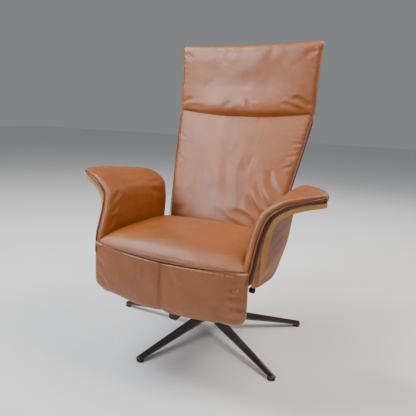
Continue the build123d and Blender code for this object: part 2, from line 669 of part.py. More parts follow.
for side, sign in SIDES:
    span = sorted((sign * (BRACKET_X - 3), sign * (BRACKET_X + 3)))
    plate_link(f"footrest_bracket_{side}", (span,),
               ((axis_y - 5, axis_z - 5), (FRONT_BAR_Y, RAIL_Z + 2), (FRONT_BAR_Y, RAIL_Z + RAIL - 2),
                (axis_y + 5, axis_z + 5)),
               ((axis_y, axis_z, 8, BAR_R + BUSH_PLAY),))

with BuildPart() as footrest_buffer:
    with BuildSketch(Plane.XY.offset(196)):
        with Locations((20, BOARD_FRONT + BOARD_THICKNESS + 20)):
            RectangleRounded(30, 40, 8)
    extrude(amount=66)
    fillet(footrest_buffer.faces().sort_by(Axis.Z)[0].edges(), 7)
save(footrest_buffer, "footrest_buffer")

# ---------------------------------------------------------------- release lever and cable
LEVER_PIN_R = 4
pivot_y, pivot_z = LEVER_PIVOT
with BuildPart() as lever_pin:
    with BuildSketch(across(RAIL_X + RAIL, *LEVER_PIVOT)):
        Circle(LEVER_PIN_R)
    extrude(amount=LEVER_X + 2 + GAP - RAIL_X - RAIL)
    with BuildSketch(across(LEVER_X + 2 + GAP, *LEVER_PIVOT)):
        Circle(LEVER_PIN_R + 3)
    extrude(amount=2)
save(lever_pin, "lever_pin")

knob_y, knob_z = KNOB_CENTRE
plate_link("release_lever", ((LEVER_X - 2, LEVER_X + 2),),
           ((pivot_y - 2, pivot_z + 6), (knob_y + 10, knob_z + 13), (knob_y + 4, knob_z + 4),
            (pivot_y + 2, pivot_z - 7)),
           ((pivot_y, pivot_z, 9, LEVER_PIN_R + BUSH_PLAY),))

with BuildPart() as lever_knob:
    with BuildSketch(across(LEVER_X, *KNOB_CENTRE)):
        Circle(KNOB_R)
    extrude(amount=KNOB_R, both=True)
    fillet(lever_knob.edges().filter_by(GeomType.CIRCLE), 6)
    with BuildSketch(across(LEVER_X - 2)):
        with BuildLine():
            Polyline((pivot_y - 2, pivot_z + 6), (knob_y + 10, knob_z + 13), (knob_y + 4, knob_z + 4),
                     (pivot_y + 2, pivot_z - 7), close=True)
        make_face()
    extrude(amount=4, mode=Mode.SUBTRACT)
save(lever_knob, "lever_knob")

CABLE_ROUTE = ((221, -190, 336), (222, -232, 330), (221, -282, 321), (206, -314, 315), (170, -322, 312),
               (128, -300, 314), (96, -262, 318), (74, -214, 324), (GAS_X, -176, CRANK_PIN[1]),
               (GAS_X, GAS_FRONT - PLATE, CRANK_PIN[1]))
cable_corners = []
for before, here, after in zip(CABLE_ROUTE, CABLE_ROUTE[1:], CABLE_ROUTE[2:]):
    arriving, leaving = Vector(here) - Vector(before), Vector(after) - Vector(here)
    turn = radians(arriving.get_angle(leaving))
    cable_corners.append(0.45 * min(arriving.length, leaving.length) / tan(turn / 2))
print("cable radii", [round(radius) for radius in cable_corners])
with BuildPart() as release_cable:
    with BuildLine() as cable_line:
        FilletPolyline(*CABLE_ROUTE, radius=cable_corners)
    start = Vector(CABLE_ROUTE[0])
    with BuildSketch(Plane(origin=start, z_dir=Vector(CABLE_ROUTE[1]) - start)):
        Circle(CABLE_R)
    sweep(path=cable_line.line)
cable_length = sum(edge.length for edge in cable_line.line.edges())
print("cable volume", release_cable.part.volume, "section times length", pi * CABLE_R ** 2 * cable_length)
save(release_cable, "release_cable")
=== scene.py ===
import json
from math import ceil, cos, hypot, pi, radians, sin, sqrt

import bpy
import numpy as np
from mathutils import Matrix, Vector, noise


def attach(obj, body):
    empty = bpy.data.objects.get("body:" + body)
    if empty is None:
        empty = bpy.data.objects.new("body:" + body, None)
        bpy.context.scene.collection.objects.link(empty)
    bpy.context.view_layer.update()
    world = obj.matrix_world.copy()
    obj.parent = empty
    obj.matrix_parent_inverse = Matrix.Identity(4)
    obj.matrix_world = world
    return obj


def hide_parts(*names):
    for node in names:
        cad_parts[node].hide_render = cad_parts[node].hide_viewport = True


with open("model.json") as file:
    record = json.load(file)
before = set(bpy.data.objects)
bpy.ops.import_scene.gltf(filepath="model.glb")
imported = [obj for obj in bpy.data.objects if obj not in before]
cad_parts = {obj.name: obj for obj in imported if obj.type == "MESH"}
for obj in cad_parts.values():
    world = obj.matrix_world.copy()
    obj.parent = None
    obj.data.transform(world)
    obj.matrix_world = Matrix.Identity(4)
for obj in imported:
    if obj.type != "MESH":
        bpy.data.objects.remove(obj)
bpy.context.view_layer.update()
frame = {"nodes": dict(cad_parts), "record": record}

bl_info = {
    "name": "Reclining Armchair",
    "version": (1, 0, 0),
    "blender": (4, 5, 0),
    "location": "View3D > Sidebar > Armchair",
    "description": "Upholsters and finishes a reclining leather armchair on its star base",
    "category": "Add Mesh",
}

# The back's own frame, from its angle: v runs up the front face, n into the back.
BACK_ANGLE = radians(22.4)
BACK_FOOT = Vector((0, 0.0395, 0.385))
BACK_UP = Vector((0, sin(BACK_ANGLE), cos(BACK_ANGLE)))
BACK_IN = Vector((0, cos(BACK_ANGLE), -sin(BACK_ANGLE)))
SEAM_Z = 0.400
SEAM_RISE = 0.013                      # the front seam is this much higher at its ends
FRONT_HALF = 0.255
SIDES = (("left", 1), ("right", -1))
ACROSS = Vector((1, 0, 0))
HEADREST_AXIS = (0.272, 0.862)         # y and z of the line the headrest tilts about
ROLL_DRAWN = 0.0455                    # radius the roll is drawn at before it takes its barrel shape


# ---------------------------------------------------------------- sizes and colours
class ChairSizes(bpy.types.PropertyGroup):
    """Sizes of the upholstery that a maker would vary."""
    welt: bpy.props.FloatProperty(name="Welt", description="Radius of the piping along the arms",
                                  default=0.0028, unit="LENGTH")
    seam: bpy.props.FloatProperty(name="Seam", description="Half-width of a pulled-in seam",
                                  default=0.0032, unit="LENGTH")
    stitch: bpy.props.FloatProperty(name="Stitch", description="Length of one stitch",
                                    default=0.0042, unit="LENGTH")
    thread: bpy.props.FloatProperty(name="Thread", description="Radius of the sewing thread",
                                    default=0.00055, unit="LENGTH")
    puckers: bpy.props.FloatProperty(name="Puckers", description="Strength of the leather's folds",
                                     default=1.0, min=0.0, max=2.0, subtype="FACTOR")
    mesh_step: bpy.props.FloatProperty(name="Mesh step", description="Spacing of the upholstery's mesh",
                                       default=0.0040, unit="LENGTH")


class ChairColours(bpy.types.PropertyGroup):
    """Colours of the finishes, in linear light."""
    leather: bpy.props.FloatVectorProperty(name="Leather", description="Main colour of the hide", size=4,
                                           default=(0.275, 0.072, 0.005, 1), subtype="COLOR", min=0, max=1)
    seam_leather: bpy.props.FloatVectorProperty(name="Welts", description="Colour of piping and seams",
                                                size=4, default=(0.13, 0.032, 0.012, 1),
                                                subtype="COLOR", min=0, max=1)
    shell: bpy.props.FloatVectorProperty(name="Shell", description="Veneer of the bent-wood arms", size=4,
                                         default=(0.29, 0.088, 0.020, 1), subtype="COLOR", min=0, max=1)
    shell_edge: bpy.props.FloatVectorProperty(name="Shell edge", description="Cut edge of the plies",
                                              size=4, default=(0.50, 0.24, 0.085, 1),
                                              subtype="COLOR", min=0, max=1)
    base: bpy.props.FloatVectorProperty(name="Base", description="Polished bronze-black metal", size=4,
                                        default=(0.16, 0.125, 0.11, 1), subtype="COLOR", min=0, max=1)
    floor: bpy.props.FloatVectorProperty(name="Floor", description="Pale studio floor", size=4,
                                         default=(0.86, 0.86, 0.86, 1), subtype="COLOR", min=0, max=1)


# ---------------------------------------------------------------- shader writing
class Shade:
    """A value socket written as a number: each sum or product adds its Math node."""

    def __init__(self, finish, socket):
        self.finish, self.socket = finish, socket

    def math(self, operation, *values):
        made = self.finish.node("ShaderNodeMath", {"operation": operation}, dict(enumerate(values)))
        return Shade(self.finish, made.outputs[0])

    def __add__(self, other):
        return self.math("ADD", self, other)

    def __sub__(self, other):
        return self.math("SUBTRACT", self, other)

    def __rsub__(self, other):
        return self.math("SUBTRACT", other, self)

    def __mul__(self, other):
        return self.math("MULTIPLY", self, other)

    def ramp(self, low, high):
        """0 below low, 1 above high and smooth between them."""
        settings = {"interpolation_type": "SMOOTHSTEP", "clamp": True}
        made = self.finish.node("ShaderNodeMapRange", settings,
                                {"Value": self, "From Min": low, "From Max": high})
        return Shade(self.finish, made.outputs["Result"])

    __radd__ = __add__
    __rmul__ = __mul__


class Finish:
    """A material being written. Every node is added by node()."""

    def __init__(self, name, **constants):
        self.material = bpy.data.materials.new(name)
        self.material.use_nodes = True
        self.tree = self.material.node_tree
        self.tree.nodes.clear()
        self.surface = self.node("ShaderNodeBsdfPrincipled", {}, constants)
        self.node("ShaderNodeOutputMaterial", {}, {"Surface": self.surface.outputs["BSDF"]})
        self.place = self.node("ShaderNodeTexCoord").outputs["Object"]

    def node(self, kind, settings=None, inputs=None):
        made = self.tree.nodes.new(kind)
        for key, value in (settings or {}).items():
            setattr(made, key, value)
        for key, value in (inputs or {}).items():
            value = value.socket if isinstance(value, Shade) else value
            if isinstance(value, bpy.types.NodeSocket):
                self.tree.links.new(value, made.inputs[key])
            else:
                made.inputs[key].default_value = value
        return made

    def stretched(self, x, y, z):
        """Object coordinates scaled along each axis."""
        return self.node("ShaderNodeMapping", {}, {"Vector": self.place, "Scale": (x, y, z)}).outputs[0]

    def noise(self, scale, detail=3.0, at=None, distortion=0.0):
        inputs = {"Vector": at or self.place, "Scale": scale, "Detail": detail, "Distortion": distortion}
        return Shade(self, self.node("ShaderNodeTexNoise", {}, inputs).outputs["Fac"])

    def cells(self, scale, feature="F1", at=None):
        inputs = {"Vector": at or self.place, "Scale": scale}
        made = self.node("ShaderNodeTexVoronoi", {"feature": feature}, inputs)
        return Shade(self, made.outputs["Distance"])

    def blend(self, amount, first, second, mode="MIX"):
        """One colour laid over another by a value."""
        inputs = {"Factor": amount, 6: first, 7: second}
        settings = {"data_type": "RGBA", "blend_type": mode}
        return self.node("ShaderNodeMix", settings, inputs).outputs[2]

    def set(self, key, value):
        value = value.socket if isinstance(value, Shade) else value
        self.tree.links.new(value, self.surface.inputs[key])

    def bump(self, height, strength, distance):
        made = self.node("ShaderNodeBump", {}, {"Height": height, "Strength": strength, "Distance": distance})
        self.set("Normal", made.outputs["Normal"])


def tinted(colour, factor):
    """A colour made lighter or darker."""
    return tuple(min(1.0, c * factor) for c in colour[:3]) + (1.0,)


def leather_finish(name, colour, grain=1.0):
    """Soft pull-up cowhide: pebbled grain, cloudy dye, and a waxy polish that comes and goes."""
    hide = Finish(name, **{"Specular IOR Level": 0.60, "Coat Roughness": 0.30, "Coat IOR": 1.45})
    clouds = hide.noise(5.5, 4.0).ramp(0.30, 0.72)
    patches = hide.noise(19.0, 4.0).ramp(0.34, 0.72)
    jitter = hide.node("ShaderNodeTexNoise", {}, {"Vector": hide.place, "Scale": 60.0}).outputs["Color"]
    jitter = hide.node("ShaderNodeVectorMath", {"operation": "SCALE"}, {0: jitter, "Scale": 0.012})
    creased = hide.node("ShaderNodeVectorMath", {"operation": "ADD"}, {0: hide.place, 1: jitter.outputs[0]})
    lines = hide.cells(95.0, "DISTANCE_TO_EDGE", creased.outputs[0]).ramp(0.0, 0.055)
    valleys = hide.cells(430.0).ramp(0.35, 0.75)
    pores = hide.noise(1300.0, 2.0)
    dyed = hide.blend(clouds, tinted(colour, 0.80), tinted(colour, 1.12))
    dyed = hide.blend(patches * 0.40, dyed, tinted(colour, 1.35))
    dyed = hide.blend(valleys * 0.32, dyed, tinted(colour, 0.50))
    dyed = hide.blend((1 - lines) * 0.22, dyed, tinted(colour, 0.45))
    hide.set("Base Color", dyed)
    hide.set("Roughness", 0.30 + 0.08 * patches + 0.14 * valleys)
    hide.set("Coat Weight", 0.12 + 0.20 * patches)
    hide.bump((1 - valleys) * 0.8 + pores * 0.25 + lines * 0.7, 0.42 * grain, 0.0010)
    return hide.material


def wood_finish(name, colour, edge):
    """Satin walnut veneer along the arm, with the light plies showing on the cut edges."""
    wood = Finish(name, **{"Specular IOR Level": 0.08})
    along = wood.stretched(58.0, 3.2, 58.0)
    fibres = wood.noise(1.0, 6.0, along, 0.6)
    figure = wood.noise(1.0, 3.0, wood.stretched(16.0, 1.1, 16.0), 1.4)
    pores = wood.noise(1.0, 2.0, wood.stretched(900.0, 26.0, 900.0)).ramp(0.60, 0.74)
    veneer = wood.blend(figure.ramp(0.34, 0.66), tinted(colour, 0.70), tinted(colour, 1.30))
    veneer = wood.blend(fibres.ramp(0.40, 0.62) * 0.55, veneer, tinted(colour, 0.55))
    veneer = wood.blend(pores * 0.6, veneer, tinted(colour, 0.30))
    normal = wood.node("ShaderNodeNewGeometry").outputs["Normal"]
    facing = wood.node("ShaderNodeSeparateXYZ", {}, {0: normal})
    cut = (Shade(wood, facing.outputs["Y"]) * -1.0).ramp(0.15, 0.32)
    plies = wood.noise(1.0, 1.0, wood.stretched(900.0, 20.0, 900.0)).ramp(0.42, 0.60)
    board = wood.blend(plies * 0.45, edge, tinted(edge, 0.62))
    wood.set("Base Color", wood.blend(cut, veneer, board))
    wood.set("Roughness", 0.44 + 0.16 * fibres)
    wood.bump(fibres * 0.6 - pores * 0.8, 0.18, 0.0006)
    return wood.material


def metal_finish(name, colour, roughness, brushed=40.0, metallic=1.0):
    """Metal with fine brushing and faint handling marks."""
    metal = Finish(name, **{"Metallic": metallic})
    marks = metal.noise(9.0, 4.0).ramp(0.35, 0.75)
    brush = metal.noise(1.0, 2.0, metal.stretched(brushed * 20, brushed * 20, brushed))
    metal.set("Base Color", metal.blend(marks, tinted(colour, 0.85), tinted(colour, 1.2)))
    metal.set("Roughness", roughness + 0.10 * marks + 0.08 * brush)
    metal.bump(brush, 0.08, 0.0002)
    return metal.material


def moulded_finish(name, colour, roughness):
    """Moulded plastic or rubber with a fine spark-eroded texture."""
    plastic = Finish(name)
    sparkle = plastic.noise(1400.0, 2.0)
    wear = plastic.noise(30.0, 3.0).ramp(0.40, 0.80)
    plastic.set("Base Color", plastic.blend(wear, tinted(colour, 0.85), tinted(colour, 1.5)))
    plastic.set("Roughness", roughness + 0.12 * wear)
    plastic.bump(sparkle, 0.2, 0.0003)
    return plastic.material


def thread_finish(name, colour):
    """Bonded sewing thread with its twist."""
    thread = Finish(name, **{"Sheen Weight": 0.3})
    twist = thread.noise(2600.0, 2.0)
    thread.set("Base Color", thread.blend(twist.ramp(0.3, 0.7), tinted(colour, 0.7), tinted(colour, 1.4)))
    thread.set("Roughness", 0.55 + 0.2 * twist)
    thread.bump(twist, 0.3, 0.0003)
    return thread.material


# ---------------------------------------------------------------- mesh making
def mesh_object(name, points, faces, material, smooth=True):
    """A mesh object in the scene, with one finish."""
    data = bpy.data.meshes.new(name)
    data.from_pydata([tuple(p) for p in points], [], [tuple(f) for f in faces])
    data.validate()
    data.polygons.foreach_set("use_smooth", [smooth] * len(data.polygons))
    data.materials.append(material)
    made = bpy.data.objects.new(name, data)
    bpy.context.scene.collection.objects.link(made)
    return made


def through(rows, count):
    """Rows of numbers on a smooth curve through them all, and the curve's length over its first three
    columns. count is how many rows to make, evenly spaced, or the places along it from 0 to 1."""
    rows = np.array(rows, float)
    padded = np.vstack([2 * rows[0] - rows[1], rows, 2 * rows[-1] - rows[-2]])
    fine = []
    for i in range(1, len(padded) - 2):
        p0, p1, p2, p3 = padded[i - 1:i + 3]
        for t in np.linspace(0, 1, 24, endpoint=False):
            fine.append(0.5 * (2 * p1 + (p2 - p0) * t + (2 * p0 - 5 * p1 + 4 * p2 - p3) * t ** 2
                               + (3 * p1 - p0 - 3 * p2 + p3) * t ** 3))
    fine.append(rows[-1])
    fine = np.array(fine)
    length = np.concatenate([[0], np.cumsum(np.linalg.norm(np.diff(fine[:, :3], axis=0), axis=1))])
    wanted = np.linspace(0, length[-1], count) if np.isscalar(count) else np.array(count) * length[-1]
    return np.stack([np.interp(wanted, length, column) for column in fine.T], axis=1), length[-1]


def section(low, high, depth, inset, corner, drop, counts):
    """One padded section: (a, h) round a rounded bar from low to high, h = 0 on the skin side and
    -depth behind. Returns a, h and how far each point belongs to the skin."""
    skin_count, corner_count, side_count = counts
    half, middle = (high - low) / 2 - inset, (high + low) / 2
    top, bottom = -inset, -depth + inset
    bend = max(min(corner - inset * 0.6, half * 0.98, (top - bottom) / 2 * 0.98), 1e-4)
    turn = np.linspace(0, pi / 2, corner_count + 2)[1:-1]
    run = np.linspace(-(half - bend), half - bend, skin_count)
    side = np.linspace(top - bend, bottom + bend, side_count)
    a = [run, half - bend + bend * np.sin(turn), np.full(side_count, half),
         half - bend + bend * np.cos(turn), run[::-1], -(half - bend) - bend * np.sin(turn),
         np.full(side_count, -half), -(half - bend) - bend * np.cos(turn)]
    h = [np.full(skin_count, top), top - bend + bend * np.cos(turn), side,
         bottom + bend - bend * np.sin(turn), np.full(skin_count, bottom),
         bottom + bend - bend * np.cos(turn), side[::-1], top - bend + bend * np.sin(turn)]
    a, h = np.concatenate(a), np.concatenate(h)
    skin = np.clip(1 + h / depth, 0, 1)
    return middle + a, h - drop * skin * (a / max((high - low) / 2, 1e-6)) ** 2, skin


def padded_form(name, rows, axis, material, outward=1.0, corner=0.012, start_round=0.0, end_round=0.0,
                shape=None, counts=(90, 8, 8), step=0.004):
    """A stuffed form drawn along a path. Each row is x, y, z of the skin, then low and high across the
    form, its depth and how far its edges drop. shape moves the finished points."""
    _, length = through(rows, 2)
    middle = np.linspace(start_round / length, 1 - end_round / length, max(8, ceil(length / step)))
    arc = np.linspace(0, pi / 2, 9)[:-1]
    places = np.concatenate([start_round * (1 - np.cos(arc)) / length if start_round else [],
                             middle,
                             1 - end_round * (1 - np.cos(arc[::-1])) / length if end_round else []])
    stations, _ = through(rows, places)
    axis = np.array(axis, float)
    along = np.gradient(stations[:, :3], axis=0)
    along /= np.linalg.norm(along, axis=1)[:, None]
    normal = np.cross(along, axis) * outward
    normal /= np.linalg.norm(normal, axis=1)[:, None]
    points, info = [], []
    for i, row in enumerate(stations):
        from_start, to_end = places[i] * length, (1 - places[i]) * length
        inset = 0.0
        for distance, radius in ((from_start, start_round), (to_end, end_round)):
            if distance < radius:
                inset = max(inset, radius - sqrt(max(radius ** 2 - (radius - distance) ** 2, 0)))
        a, h, skin = section(row[3], row[4], row[5], min(inset, row[5] * 0.49), corner, row[6], counts)
        points.append(row[None, :3] + a[:, None] * axis + h[:, None] * normal[i])
        width = (row[4] - row[3]) / 2
        info.append(np.stack([np.full(len(a), places[i]), (a - (row[3] + row[4]) / 2) / width, skin,
                              np.full(len(a), i)], axis=1))
    points, info = np.array(points), np.array(info)
    rings, around = points.shape[:2]
    points, info = points.reshape(-1, 3), info.reshape(-1, 4)
    if shape:
        points = shape(points, info, normal[info[:, 3].astype(int)])
    faces = [(i * around + j, i * around + (j + 1) % around, (i + 1) * around + (j + 1) % around,
              (i + 1) * around + j) for i in range(rings - 1) for j in range(around)]
    ends = [points[:around].mean(0), points[-around:].mean(0)]
    first, last = len(points), len(points) + 1
    points = np.vstack([points, ends])
    faces += [(first, (j + 1) % around, j) for j in range(around)]
    base = (rings - 1) * around
    faces += [(last, base + j, base + (j + 1) % around) for j in range(around)]
    if outward > 0:
        faces = [face[::-1] for face in faces]
    return mesh_object(name, points, faces, material)


def tube(name, path, radius, material, sides=10):
    """A round cord along points, closed at its ends."""
    path = np.array(path, float)
    along = np.gradient(path, axis=0)
    along /= np.linalg.norm(along, axis=1)[:, None]
    guide = np.array((0.31, 0.52, 0.79))
    first = np.cross(along, guide)
    first /= np.linalg.norm(first, axis=1)[:, None]
    second = np.cross(along, first)
    turn = np.linspace(0, 2 * pi, sides, endpoint=False)
    rings = (path[:, None] + radius * (np.cos(turn)[None, :, None] * first[:, None]
                                       + np.sin(turn)[None, :, None] * second[:, None]))
    points = rings.reshape(-1, 3)
    count = len(path)
    faces = [(i * sides + j, i * sides + (j + 1) % sides, (i + 1) * sides + (j + 1) % sides,
              (i + 1) * sides + j) for i in range(count - 1) for j in range(sides)]
    faces += [tuple(range(sides))[::-1], tuple(range((count - 1) * sides, count * sides))]
    return mesh_object(name, points, [f[::-1] for f in faces], material)


def stitch_row(name, path, length, radius, material, pitch=1.55):
    """Separate stitches along a path: each is a slim barrel whose ends dip into the leather."""
    path, total = through(path, 400)
    count = max(2, int(total / (length * pitch)))
    points, faces = [], []
    sides, rings = 6, 5
    for k in range(count):
        middle = (k + 0.5) / count
        half = length / 2 / total
        at = np.linspace(middle - half, middle + half, rings)
        spots = np.stack([np.interp(at, np.linspace(0, 1, 400), column) for column in path.T], axis=1)
        along = spots[-1] - spots[0]
        along /= np.linalg.norm(along)
        first = np.cross(along, (0.31, 0.52, 0.79))
        first /= np.linalg.norm(first)
        second = np.cross(along, first)
        start = len(points)
        for i, spot in enumerate(spots):
            size = radius * (0.45 + 0.55 * sin(pi * i / (rings - 1)))
            for turn in np.linspace(0, 2 * pi, sides, endpoint=False):
                points.append(spot + size * (cos(turn) * first + sin(turn) * second))
        for i in range(rings - 1):
            for j in range(sides):
                faces.append((start + i * sides + j, start + (i + 1) * sides + j,
                              start + (i + 1) * sides + (j + 1) % sides, start + i * sides + (j + 1) % sides))
        faces.append(tuple(start + j for j in range(sides)))
        faces.append(tuple(start + (rings - 1) * sides + j for j in reversed(range(sides))))
    return mesh_object(name, points, faces, material)


def bell(distance, width):
    """1 on a line and 0 away from it."""
    return np.exp(-(distance / width) ** 2)


def wander(points, scale, seed):
    """Smooth noise from -1 to 1 at each point."""
    shift = Vector((seed * 3.7, seed * 1.9, seed * 5.3))
    return np.array([noise.noise(Vector(p) * scale + shift) for p in points])


def folds(flat, lines):
    """Leather folds on a surface laid flat: each line is (x, y, x, y, width, depth). A fold is a soft
    valley with a raised lip on each side, and it fades out at both ends."""
    moved = np.zeros(len(flat))
    for x0, y0, x1, y1, width, depth in lines:
        run = np.array((x1 - x0, y1 - y0))
        length = np.linalg.norm(run)
        run /= length
        offset = flat - np.array((x0, y0))
        along = offset @ run / length
        bow = 0.06 * length * np.sin(along * 5.1 + x0 * 40)
        away = offset @ np.array((-run[1], run[0])) + bow
        fade = np.clip(np.minimum(along, 1 - along) * 4 + 0.15, 0, 1)
        fade = fade * fade * (3 - 2 * fade)
        moved += depth * fade * (-bell(away, width) + 0.55 * bell(np.abs(away) - 1.9 * width, width))
    return moved


def roll_radius(x):
    """The headrest's lower roll is fattest in the middle, like a barrel."""
    return 0.0360 + 0.0285 * (1 - np.clip(np.abs(x) / 0.27, 0, 1) ** 2.0)


def clear_of_roll(points, play):
    """Points pushed straight out of the room the headrest's roll turns in."""
    away = points[:, 1:] - np.array(HEADREST_AXIS)
    distance = np.linalg.norm(away, axis=1)
    radius = roll_radius(points[:, 0]) + play
    inside = distance < radius
    points[inside, 1:] += (away * ((radius - distance) / np.maximum(distance, 1e-6))[:, None])[inside]
    return points


def settle(piece, body, slot_name, *replaced):
    """Put a finished piece on its body and hide the frame parts it stands in for."""
    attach(piece, body)
    if replaced:
        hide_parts(*replaced)
    return piece


def finish_named(name):
    """A finish already written by the finishes step."""
    return bpy.data.materials[name]


def back_spot(x, v, n):
    """A point of the back: x across, v up its front face, n into it."""
    return Vector((x, 0, 0)) + BACK_FOOT + BACK_UP * v + BACK_IN * n


# ---------------------------------------------------------------- operators
class CHAIR_OT_finishes(bpy.types.Operator):
    """Write the leather, wood, metal and plastic finishes"""
    bl_idname = "chair.finishes"
    bl_label = "Finishes"

    def execute(self, context):
        colours = context.scene.chair_colours
        leather_finish("cowhide", colours.leather)
        leather_finish("welt_leather", colours.seam_leather, 0.6)
        # Painted shade: the boxing leather is the hide darkened to 0.42, standing in for the shadow gap under the arm
        # pads.
        leather_finish("boxing_leather_painted_shade", tinted(colours.leather, 0.42), 0.8)
        wood_finish("shell_veneer", colours.shell, colours.shell_edge)
        wood_finish("raw_plywood", (0.55, 0.40, 0.25, 1), (0.5, 0.36, 0.22, 1))
        metal_finish("bronze_black", colours.base, 0.13)
        metal_finish("black_powder", (0.02, 0.02, 0.022, 1), 0.42, metallic=0.3)
        metal_finish("zinc_steel", (0.55, 0.55, 0.56, 1), 0.26)
        metal_finish("chromed_tip", (0.62, 0.60, 0.58, 1), 0.10)
        moulded_finish("black_moulding", (0.018, 0.018, 0.018, 1), 0.45)
        moulded_finish("soft_rubber", (0.015, 0.015, 0.015, 1), 0.62)
        moulded_finish("grey_sheath", (0.30, 0.30, 0.31, 1), 0.40)
        thread_finish("dark_thread", (0.20, 0.07, 0.03, 1))
        return {"FINISHED"}


CAD_FINISHES = {
    "walnut_shell": "shell_veneer", "plywood": "raw_plywood", "dark_bronze": "bronze_black",
    "black_steel": "black_powder", "bright_steel": "zinc_steel", "black_plastic": "black_moulding",
    "black_rubber": "soft_rubber", "grey_cable": "grey_sheath", "leather": "cowhide",
}


class CHAIR_OT_frame_finishes(bpy.types.Operator):
    """Give every hard part of the frame its finish"""
    bl_idname = "chair.frame_finishes"
    bl_label = "Frame finishes"

    def execute(self, context):
        for part in frame["record"]["subparts"]:
            node = frame["nodes"][part["node"]]
            node.data.materials.clear()
            node.data.materials.append(finish_named(CAD_FINISHES[part["material_slot"]]))
        return {"FINISHED"}


def seam_lift(points):
    """How much higher the front seam is at each point than at the middle."""
    return SEAM_RISE * np.clip(np.abs(points[:, 0]) / FRONT_HALF, 0, 1) ** 2


class CHAIR_OT_seat(bpy.types.Operator):
    """Make the seat cushion, from the crevice at the back over the front roll to the front seam"""
    bl_idname = "chair.seat"
    bl_label = "Seat cushion"

    def execute(self, context):
        sizes = context.scene.chair_sizes
        rows = [  # x, y, z, low, high, depth, drop
            (0, 0.052, 0.424, -0.203, 0.203, 0.030, 0.004),
            (0, 0.020, 0.440, -0.206, 0.206, 0.045, 0.008),
            (0, -0.060, 0.455, -0.211, 0.211, 0.060, 0.016),
            (0, -0.170, 0.462, -0.217, 0.217, 0.064, 0.020),
            (0, -0.270, 0.459, -0.223, 0.223, 0.062, 0.018),
            (0, -0.325, 0.451, -0.227, 0.227, 0.056, 0.016),
            (0, -0.362, 0.437, -0.240, 0.240, 0.040, 0.018),
            (0, -0.386, 0.419, -0.253, 0.253, 0.028, 0.024),
            (0, -0.3965, SEAM_Z + 0.002, -FRONT_HALF, FRONT_HALF, 0.020, 0.027),
        ]

        def shape(points, info, normal):
            near_seam = np.clip((info[:, 0] - 0.72) / 0.28, 0, 1)
            points[:, 2] += seam_lift(points) * near_seam ** 2
            flat = points[:, :2]
            ripple = folds(flat, (
                (-0.20, -0.30, -0.12, -0.335, 0.012, 0.0007), (0.21, -0.29, 0.12, -0.33, 0.013, 0.0009),
                (-0.06, 0.00, 0.10, 0.012, 0.012, 0.0022), (0.19, -0.05, 0.14, -0.12, 0.012, 0.0016),
                (-0.19, -0.04, -0.15, -0.13, 0.012, 0.0014), (-0.16, -0.372, -0.06, -0.376, 0.008, 0.0005),
                (0.05, -0.376, 0.17, -0.373, 0.008, 0.0006)))
            soft = wander(points, 7.0, 1) * 0.0013 + wander(points, 22.0, 2) * 0.0003
            gathers = np.sin(points[:, 0] * 420 + 2.5 * wander(points, 20.0, 3)) * 0.0005
            gathers *= bell(info[:, 0] - 0.985, 0.025)
            lift = (ripple * sizes.puckers + soft + gathers) * info[:, 2] ** 2
            return points + normal * lift[:, None]

        seat = padded_form("seat_leather", rows, ACROSS, finish_named("cowhide"), 1.0, 0.013,
                           0.006, 0.007, shape, (110, 7, 5), sizes.mesh_step)
        settle(seat, "seat", "leather", "seat_cushion")
        return {"FINISHED"}


class CHAIR_OT_footrest(bpy.types.Operator):
    """Make the footrest's padded panel, with its middle seam and rounded lower corners"""
    bl_idname = "chair.footrest"
    bl_label = "Footrest panel"

    def execute(self, context):
        sizes = context.scene.chair_sizes
        bottom = 0.231
        rounding = 0.044
        rows = []
        for y, z, depth, drop in ((-0.3965, SEAM_Z - 0.002, 0.020, 0.027), (-0.3995, 0.385, 0.030, 0.027),
                                  (-0.4015, 0.340, 0.042, 0.027), (-0.4005, 0.295, 0.044, 0.027),
                                  (-0.3955, 0.262, 0.044, 0.026), (-0.3850, 0.241, 0.040, 0.024),
                                  (-0.3720, 0.2330, 0.034, 0.020), (-0.3600, bottom, 0.026, 0.016)):
            below = max(0.0, bottom + rounding - z)
            half = FRONT_HALF - (rounding - sqrt(rounding ** 2 - min(below, rounding * 0.999) ** 2)) * 0.8
            rows.append((0, y, z, -half, half, depth, drop))

        def shape(points, info, normal):
            near_seam = np.clip(1 - info[:, 0] / 0.30, 0, 1)
            points[:, 2] += seam_lift(points) * near_seam
            flat = points[:, [0, 2]]
            ripple = folds(flat, (
                (0.236, 0.380, 0.215, 0.350, 0.006, 0.0022), (0.246, 0.345, 0.205, 0.330, 0.007, 0.0028),
                (0.246, 0.312, 0.212, 0.300, 0.007, 0.0030), (0.244, 0.285, 0.200, 0.262, 0.008, 0.0026),
                (0.22, 0.252, 0.16, 0.246, 0.008, 0.0020), (-0.246, 0.350, -0.21, 0.338, 0.008, 0.0018),
                (-0.240, 0.300, -0.20, 0.280, 0.009, 0.0020), (0.02, 0.395, 0.05, 0.33, 0.010, 0.0012),
                (-0.03, 0.395, -0.06, 0.34, 0.010, 0.0012), (0.012, 0.262, 0.05, 0.244, 0.008, 0.0014)))
            soft = wander(points, 10.0, 5) * 0.0020 + wander(points, 30.0, 6) * 0.0006
            middle = -0.0040 * bell(points[:, 0], sizes.seam) - 0.0030 * bell(points[:, 0], 0.016)
            quilt = np.sin(points[:, 2] * 520 + 2.0 * wander(points, 25.0, 7)) * 0.0004
            quilt *= bell(np.abs(points[:, 0]) - 0.009, 0.007)
            gathers = np.sin(points[:, 0] * 380 + 2.5 * wander(points, 22.0, 8)) * 0.0006
            gathers *= bell(info[:, 0] - 0.02, 0.06)
            lift = (ripple * sizes.puckers + soft + middle + quilt + gathers) * info[:, 2] ** 2
            return points + normal * lift[:, None]

        panel = padded_form("footrest_leather", rows, ACROSS, finish_named("cowhide"), 1.0, 0.013,
                            0.007, 0.010, shape, (150, 7, 5), sizes.mesh_step * 0.8)
        settle(panel, "footrest", "leather", "footrest_cushion")
        return {"FINISHED"}


